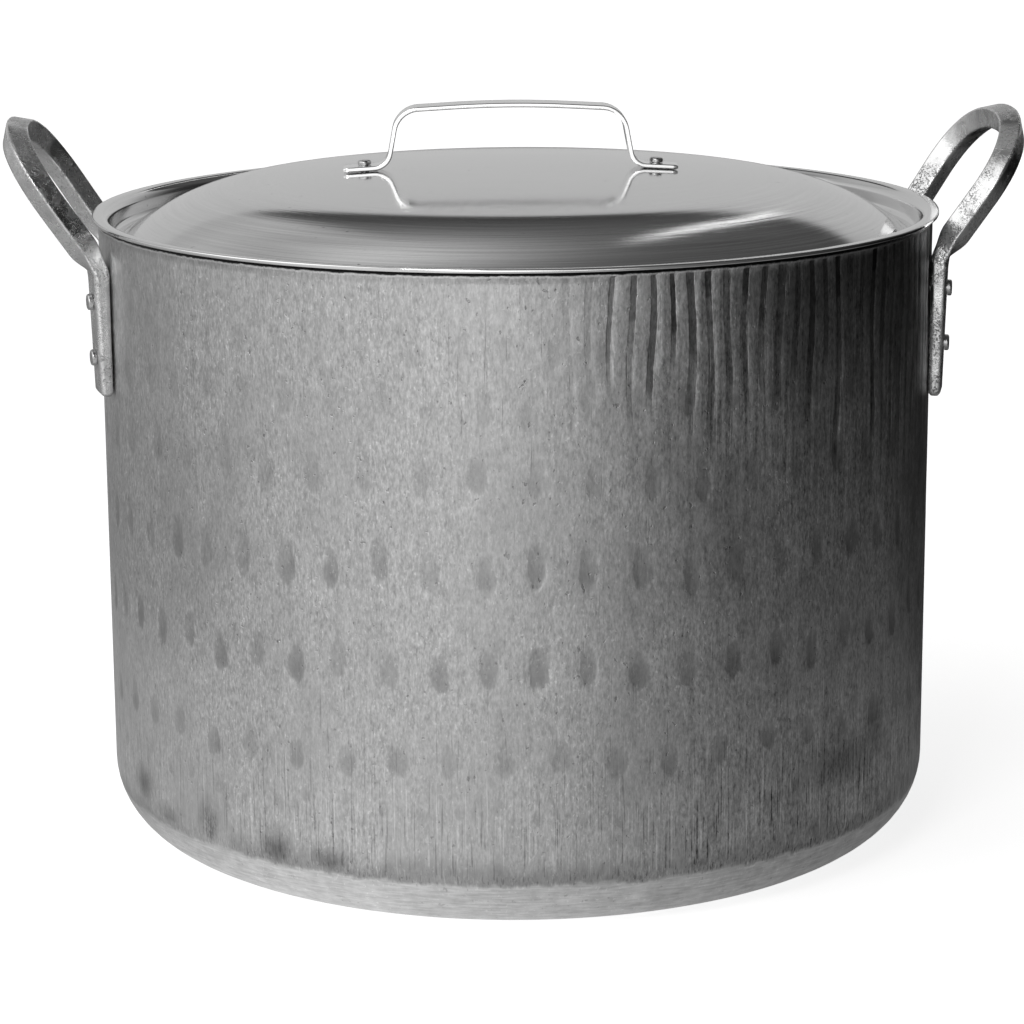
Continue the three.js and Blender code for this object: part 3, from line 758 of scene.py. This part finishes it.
def lid_strap():
    """The strap: a flat bar with rounded edges carried along the bent middle line, and narrowed
    over the last fraction of a millimetre at each end."""
    foot_x = strap_span / 2 - strap_foot
    seat = crown_height(rivet_x) + (seat_gap + strap_sheet / 2) / math.cos(strap_seat_turn)
    slope = math.tan(strap_seat_turn)
    on_foot = lambda x: seat - (x - rivet_x) * slope
    grip = on_foot(foot_x) + strap_rise
    right = [(foot_x - strap_lean, grip), (foot_x, on_foot(foot_x)),
             (strap_span / 2, on_foot(strap_span / 2))]
    left = [(-x, z) for x, z in right[::-1]]
    path = rounded(left + [(0, grip + strap_crown)] + right, strap_bends, strap_step)
    along = tangents(path)
    across = np.stack([-along[:, 1], along[:, 0]], 1)
    half, flat = strap_width / 2 - strap_edge, strap_sheet / 2 - strap_edge
    quarter = arc((half, flat), strap_edge, 0, math.pi / 2, 4)
    upper = np.concatenate([quarter, run(quarter[-1], quarter[-1] * (-1, 1), 5),
                            (quarter * (-1, 1))[::-1]])
    section = np.concatenate([upper, -upper])
    end = np.minimum(np.arange(len(path)), np.arange(len(path))[::-1])
    draw_in = np.where(end == 0, strap_edge, 0)[:, None]
    wide = section[None, :, 0] - np.sign(section[:, 0]) * draw_in
    thick = section[None, :, 1] - np.sign(section[:, 1]) * draw_in
    grid = np.stack([path[:, :1] + across[:, :1] * thick, wide,
                     path[:, 1:] + across[:, 1:] * thick], -1)
    return skin("lid_strap", moved(grid, lid_frame), polished_strap(), "lid", "lid_handle")


def rivet(name, sizes, grip, place, finish, body):
    """A struck rivet: its profile runs round the flat tail, up the shank and round the head."""
    head, head_height, shank, tail, tail_height = sizes
    head_round, tail_round = head_height * head_round_share, tail_height * tail_round_share
    profile = np.concatenate([
        [(tail * rivet_flat_share, -grip - tail_height)],
        arc((tail / 2 - tail_round, tail_round - grip - tail_height), tail_round,
            -math.pi / 2, 0, 4),
        [(tail / 2, -grip), (shank / 2, -grip), (shank / 2, 0), (head / 2, 0)],
        arc((head / 2 - head_round, head_height - head_round), head_round, 0, math.pi / 2, 6),
        [(head * rivet_flat_share, head_height)],
    ])
    return skin(name + "_set", moved(revolve(profile, 28), place), finish, body, name)


def foot_sheet(below, foot_length):
    """Thickness of a foot at a distance below the bend: it thins evenly to its lower end."""
    return foot_root_sheet + (foot_end_sheet - foot_root_sheet) * np.clip(below / foot_length, 0, 1)


foot_seat = wall_radius + seat_gap
foot_centre = foot_seat + foot_root_sheet / 2
foot_azimuth = math.asin(foot_spacing / 2 / foot_centre)


def loop_half(foot_length):
    """Middle line of the rear half of a loop handle, from the foot's lower end to the middle of
    the loop, and the direction that its section calls outwards. The foot follows the wall's
    radius, the bend is an arc, and the rounded end's width and depth are the cosine and sine of
    an angle, each to a power a little under 1."""
    out = np.array([math.cos(foot_azimuth), math.sin(foot_azimuth), 0])
    lean = np.array([math.sin(handle_lean), 0, math.cos(handle_lean)])
    loop_normal = np.array([math.cos(handle_lean), 0, -math.sin(handle_lean)])
    bend = np.array([foot_centre * math.cos(foot_azimuth), foot_spacing / 2, bend_height])
    leg_top = bend + lean * leg_length
    leg_top[1] = loop_half_width
    leg = (leg_top - bend) / np.linalg.norm(leg_top - bend)
    up = np.array([0, 0, 1.0])
    turn = math.acos(leg @ up)
    cut = handle_bend * math.tan(turn / 2)
    side = (leg - up * (leg @ up)) / np.linalg.norm(leg - up * (leg @ up))
    below = np.linspace(foot_length, cut, 40)[:, None]
    inset = (foot_root_sheet - foot_sheet(below, foot_length)) / 2
    foot = bend - up * below - out * inset
    angle = np.linspace(0, turn, 12)[1:-1, None]
    elbow = bend - up * cut + handle_bend * (up * np.sin(angle) + side * (1 - np.cos(angle)))
    straight = bend + leg * np.linspace(cut, np.linalg.norm(leg_top - bend), 30)[:-1, None]
    share = np.linspace(0, math.pi / 2, 60)
    end = leg_top + lean * loop_end_depth * (np.sin(share) ** loop_end_power)[:, None]
    end[:, 1] = loop_half_width * np.clip(np.cos(share), 0, 1) ** loop_end_power
    path = np.concatenate([foot, elbow, straight, end])
    lift = smoothstep(path[:, 2], bend_height - cut, bend_height + cut)[:, None]
    normal = out * (1 - lift) + loop_normal * lift
    return path, normal


def softened(values, width):
    """A running mean over a number of rows, with the ends held."""
    padded = np.pad(values, ((width, width), (0, 0)), mode="edge")
    kernel = np.hanning(2 * width + 1)
    kernel /= kernel.sum()
    return np.stack([np.convolve(column, kernel, "valid") for column in padded.T], 1)


def bar_sections(share, sheet):
    """Sections of the bar as height outwards and width away from the handle's middle. Each is
    four corners turned from the flat foot into the bar on its corner, by a share, with every
    corner rounded by a quadratic curve and every face flat."""
    flat = np.array([[1, 1], [-1, 1], [-1, -1], [1, -1]]) * 0.5
    flat = flat[None] * np.stack([sheet, np.full_like(sheet, foot_width)], 1)[:, None]
    corner = np.array([[0, 1], [-1, 0], [0, -1], [1, 0]]) * (bar_half_height, bar_half_width)
    corners = flat * (1 - share)[:, None, None] + corner[None] * share[:, None, None]
    back, ahead = np.roll(corners, 1, 1), np.roll(corners, -1, 1)
    cut = foot_edge * (1 - share) + bar_ridge * share
    start, stop = (corners + side * (cut[:, None] / np.linalg.norm(side, axis=2))[..., None]
                   for side in (back - corners, ahead - corners))
    rows = []
    for i in range(4):
        for t in np.linspace(0, 1, ridge_points):
            rows.append(start[:, i] * (1 - t) ** 2 + corners[:, i] * 2 * t * (1 - t)
                        + stop[:, i] * t * t)
        following = start[:, (i + 1) % 4]
        for t in np.linspace(0, 1, face_points + 2)[1:-1]:
            rows.append(stop[:, i] * (1 - t) + following * t)
    return np.stack(rows, 1)


def loop_handle(side_name, side, finish):
    """A loop handle: sections set square to its middle line, whose lower ends draw in."""
    foot_length = foot_lengths[side_name]
    path, normal = loop_half(foot_length)
    mirror = np.array([1, -1, 1])
    path = np.concatenate([path[:-1] * mirror, path[::-1]])
    normal = np.concatenate([normal[:-1] * mirror, normal[::-1]])
    both = evenly(path, bar_step, normal)
    path, normal = softened(both[:, :3], 3), softened(both[:, 3:], 4)
    path[[0, -1], 2] = bend_height - foot_length
    along = tangents(path)
    along[:3], along[-3:] = (0, 0, 1), (0, 0, -1)
    out = normal - along * np.einsum("ij,ij->i", normal, along)[:, None]
    out /= np.linalg.norm(out, axis=1, keepdims=True)
    wide = np.cross(out, along)
    above = path[:, 2] - bend_height
    travel = np.where(above < 0, above, above / math.cos(handle_lean))
    share = smoothstep(travel, -twist_below, twist_above)
    section = bar_sections(share, foot_sheet(-above, foot_length))
    step = np.minimum(np.arange(len(path)), np.arange(len(path))[::-1])
    narrow = np.interp(step, (0, 1, 2), foot_draw_in)[:, None, None]
    section = section - np.sign(section) * np.minimum(narrow, np.abs(section) * 0.4)
    grid = path[:, None] + out[:, None] * section[..., :1] + wide[:, None] * section[..., 1:]
    if side < 0:
        grid[..., :2] *= -1
    return skin(f"loop_{side_name}", grid, finish, "pot", f"side_handle_{side_name}", sharp=55)


def wall_place(side, end, height, radius):
    """Where a wall rivet sits, with its own Z pointing out along the radius."""
    turn = (0 if side > 0 else math.pi) + side * end * foot_azimuth
    return (Matrix.Rotation(turn, 4, "Z") @ Matrix.Translation((radius, 0, height))
            @ Matrix.Rotation(math.pi / 2, 4, "Y"))


def strap_place(end, above):
    """Where a strap rivet sits, square to the crown."""
    return (lid_frame @ Matrix.Translation((0, 0, crown_top - crown_radius))
            @ Matrix.Rotation(end * strap_seat_turn, 4, "Y")
            @ Matrix.Translation((0, 0, crown_radius + above)))


# Camera: where it stands, and how it is turned
camera_place = Vector((-0.1019, -1.5201, 0.5022))
camera_heading = math.radians(3.744)  # towards +X from straight back
camera_pitch = math.radians(13.12)  # downwards
camera_roll = math.radians(-0.353)
camera_lens = 113.17


def camera():
    """The camera, turned by its heading, then its pitch, then its roll."""
    data = bpy.data.cameras.new("camera")
    data.sensor_width = 36
    data.lens = camera_lens
    data.clip_start, data.clip_end = 0.05, 50
    seen = bpy.data.objects.new("camera", data)
    seen.matrix_world = (Matrix.Translation(camera_place)
                         @ Matrix.Rotation(-camera_heading, 4, "Z")
                         @ Matrix.Rotation(math.pi / 2 - camera_pitch, 4, "X")
                         @ Matrix.Rotation(camera_roll, 4, "Z"))
    bpy.context.collection.objects.link(seen)
    bpy.context.scene.camera = seen


# Studio: a key that fades evenly round the pot from the front left, a backdrop that ends in a
# clean upper edge, and soft panels. Azimuths and elevations are in degrees.
studio_level = 0.006
keys = (  # azimuth, how fast the light falls away from it, brightness
    (-26, 7.5, 0.47),
    (-52, 2.4, 0.45),
)
side_fill = (50, 0.03)
floor_backdrop = (-140, 0.22)
backdrop_azimuth, backdrop_light = -160, 0.62
backdrop_top = (0.375, 0.4)
return_azimuth, return_light = -140, 0.52  # a higher piece of the backdrop on the left
glow_azimuth, glow_elevation, glow_fall, glow_light = -158, 58, 28, 0.68
panels = (  # azimuth, elevation, how far the full light and its edge reach, brightness
    (-8, 10, 8, 20, 1.2),
    (-74, 33, 13, 42, 1.9),
)
strip_azimuth, strip_light = 161.8, 2.3
strip_height = (0.41, 0.47, 0.64, 0.82)  # it starts, is full, begins to fade and has faded
strip_width = (0.006, 0.019)
level_top = (0.12, 0.5)  # sines of the elevations between which the level light fades
return_top = (0.5, 0.8)
rear_fill, sky_base, zenith_light = 0.03, 0.018, 0.06
zenith_rise = (0.4, 0.6)
backdrop_edge, return_edge = (0.1, 0.75), (0.84, 0.88)  # cosines from faint to full
rear_edge, strip_edge, side_fill_edge = (0, 0.6), (0.3, 0.4), (0.6, 0.95)
floor_back_edge, floor_near_edge, floor_front_edge = (0.2, 1), (-0.35, 0.3), (0.86, 0.97)
right_end, right_rise = (0.14, 0.3), 0.07  # where the backdrop's right end rises, and how far
sky_share = 0.8
floor_half = 6.0
floor_near_reach, floor_near_azimuth, floor_near_light = (0.35, 1.1), 20, 0.17
floor_far_reach, floor_far_loss = (1.15, 1.65), 0.2
floor_front_reach, floor_front_light = (1.7, 2.3), 1.2
floor_white, floor_glow = 0.7, 0.8
softbox = {"size": 0.7, "power": 12, "azimuth": -24, "elevation": 32, "distance": 2.4}


def direction(azimuth, elevation):
    """Unit vector of an azimuth from the front and an elevation."""
    a, e = math.radians(azimuth), math.radians(elevation)
    return (math.sin(a) * math.cos(e), -math.cos(a) * math.cos(e), math.sin(e))


def facing(nodes, ray, towards):
    """Cosine between a ray and a fixed direction."""
    return nodes.node("ShaderNodeVectorMath", {"operation": "DOT_PRODUCT"},
                      {0: ray, 1: towards}, output=1)


def level_light(nodes, ray):
    """Light from around the pot: what the keys and the side fill send from an azimuth."""
    azimuth, brightness = side_fill
    light = nodes.smooth(facing(nodes, ray, direction(azimuth, 0)), *side_fill_edge) * brightness
    for azimuth, fall, brightness in keys:
        key = facing(nodes, ray, direction(azimuth, 0)) * 0.5 + 0.5
        light = light + key ** fall * brightness
    return light + studio_level


def sky_light(nodes, ray):
    """Brightness of the studio above the floor: the level light and the backdrop up to their
    edges, the glow over the backdrop, the panels, and one upright strip at the back."""
    height = nodes.parts(ray)[2]
    flat = nodes.node("ShaderNodeVectorMath", {"operation": "NORMALIZE"},
                      {0: nodes.scaled(ray, 1, 1, 0)})
    back = nodes.smooth(facing(nodes, flat, direction(backdrop_azimuth, 0)), *backdrop_edge)
    left = nodes.smooth(facing(nodes, flat, direction(return_azimuth, 0)), *return_edge)
    rear = nodes.smooth(facing(nodes, flat, direction(180, 0)), *rear_edge)
    risen = height - nodes.smooth(nodes.parts(flat)[0], *right_end) * right_rise
    above_return = nodes.smooth(height, *backdrop_top) * (1 - nodes.smooth(height, *return_top))
    light = (level_light(nodes, flat) * (1 - nodes.smooth(height, *level_top))
             + back * (1 - nodes.smooth(risen, *backdrop_top)) * backdrop_light
             + left * above_return * return_light
             + rear * rear_fill + sky_base + nodes.smooth(height, *zenith_rise) * zenith_light)
    glow = nodes.math("MAXIMUM", facing(nodes, ray, direction(glow_azimuth, glow_elevation)), 0.0)
    light = light + glow ** glow_fall * glow_light
    for azimuth, elevation, full, edge, brightness in panels:
        share = nodes.smooth(facing(nodes, ray, direction(azimuth, elevation)),
                             math.cos(math.radians(edge)), math.cos(math.radians(full)))
        light = light + share * brightness
    beside = nodes.math("ABSOLUTE", facing(nodes, ray, direction(strip_azimuth + 90, 0)))
    ahead = nodes.smooth(facing(nodes, ray, direction(strip_azimuth, 0)), *strip_edge)
    strip = (nodes.smooth(height, *strip_height[:2]) * (1 - nodes.smooth(height, *strip_height[2:]))
             * (1 - nodes.smooth(beside, *strip_width)) * ahead)
    return light + strip * strip_light


def floor_light(nodes, place):
    """Brightness of the floor as the metal sees it: the level light and the backdrop's light of
    its azimuth, a glow close to the pot, and a bright patch far in front."""
    flat = nodes.node("ShaderNodeVectorMath", {"operation": "NORMALIZE"}, {0: place})
    azimuth, brightness = floor_backdrop
    back = nodes.smooth(facing(nodes, flat, direction(azimuth, 0)), *floor_back_edge) * brightness
    distance = nodes.node("ShaderNodeVectorMath", {"operation": "LENGTH"}, {0: place}, output=1)
    near = ((1 - nodes.smooth(distance, *floor_near_reach))
            * nodes.smooth(facing(nodes, flat, direction(floor_near_azimuth, 0)),
                           *floor_near_edge))
    front = nodes.smooth(facing(nodes, flat, direction(0, 0)), *floor_front_edge)
    far = nodes.smooth(distance, *floor_far_reach) * floor_far_loss + (1 - floor_far_loss)
    return ((level_light(nodes, flat) + back) * far + near * floor_near_light
            + front * nodes.smooth(distance, *floor_front_reach) * floor_front_light)


def studio_world():
    """The world: the studio's light to the metal and the floor, and plain white to the camera."""
    world = bpy.data.worlds.new("studio")
    bpy.context.scene.world = world
    nodes = Nodes(world)
    light = sky_light(nodes, nodes.node("ShaderNodeTexCoord", output=0)) * sky_share
    seen = nodes.node("ShaderNodeLightPath", output=0)
    background = nodes.node("ShaderNodeBackground", None,
                            {"Color": (1, 1, 1, 1), "Strength": light + (1 - light) * seen})
    nodes.node("ShaderNodeOutputWorld", None, {"Surface": background})


def pale_floor():
    """A white floor: it shows white to the camera with the pot's shadow on it, and the studio's
    own light to the metal."""
    corners = ((-1, -1), (1, -1), (1, 1), (-1, 1))
    mesh = bpy.data.meshes.new("floor")
    mesh.from_pydata([(x * floor_half, y * floor_half, 0) for x, y in corners], [], [(0, 1, 2, 3)])
    floor = bpy.data.objects.new("floor", mesh)
    bpy.context.collection.objects.link(floor)
    material = bpy.data.materials.new("pale_floor")
    nodes = Nodes(material)
    place = nodes.node("ShaderNodeTexCoord", output=3)
    light = floor_light(nodes, place)
    seen = nodes.node("ShaderNodeLightPath", output=0)
    own = nodes.node("ShaderNodeEmission", None,
                     {"Strength": light * (1 - seen) + seen * floor_glow})
    matt = nodes.node("ShaderNodeBsdfDiffuse", None, {"Color": nodes.grey(seen * floor_white)})
    both = nodes.node("ShaderNodeAddShader", None, {0: own, 1: matt})
    nodes.node("ShaderNodeOutputMaterial", None, {"Surface": both})
    mesh.materials.append(material)


def lamp(name, size, power, azimuth, elevation, distance):
    """A square soft lamp that looks at the middle of the pot."""
    data = bpy.data.lights.new(name, "AREA")
    data.shape = "SQUARE"
    data.size = size
    data.energy = power
    made = bpy.data.objects.new(name, data)
    middle = Vector((0, 0, rim_height / 2))
    ray = Vector(direction(azimuth, elevation))
    made.matrix_world = (Matrix.Translation(middle + ray * distance)
                         @ ray.to_track_quat("Z", "Y").to_matrix().to_4x4())
    bpy.context.collection.objects.link(made)


camera()
studio_world()
pale_floor()
lamp("front_softbox", **softbox)

pot_wall()
lid_dome()
lid_strap()

cast = cast_loop()
struck = set_rivet()
tail_radius = wall_rivet[3] / 2
inner_seat = math.sqrt((wall_radius - wall_sheet) ** 2 - tail_radius ** 2) - tail_gap
for side_name, side in sides.items():
    loop_handle(side_name, side, cast)
    for end_name, end in ends.items():
        for level_name, height in rivet_levels.items():
            below = bend_height - height - wall_rivet[0] / 2
            seat = foot_seat + foot_sheet(below, foot_lengths[side_name]) + seat_gap
            rivet(f"rivet_{side_name}_{end_name}_{level_name}", wall_rivet, seat - inner_seat,
                  wall_place(side, end, height, seat), struck, "pot")

strap_seat = strap_sheet + 2 * seat_gap
for end, name in ((-1, "lid_rivet_left"), (1, "lid_rivet_right")):
    rivet(name, strap_rivet, strap_seat + lid_sheet + seat_gap, strap_place(end, strap_seat),
          struck, "lid")

bpy.context.scene.view_settings.view_transform = "Standard"
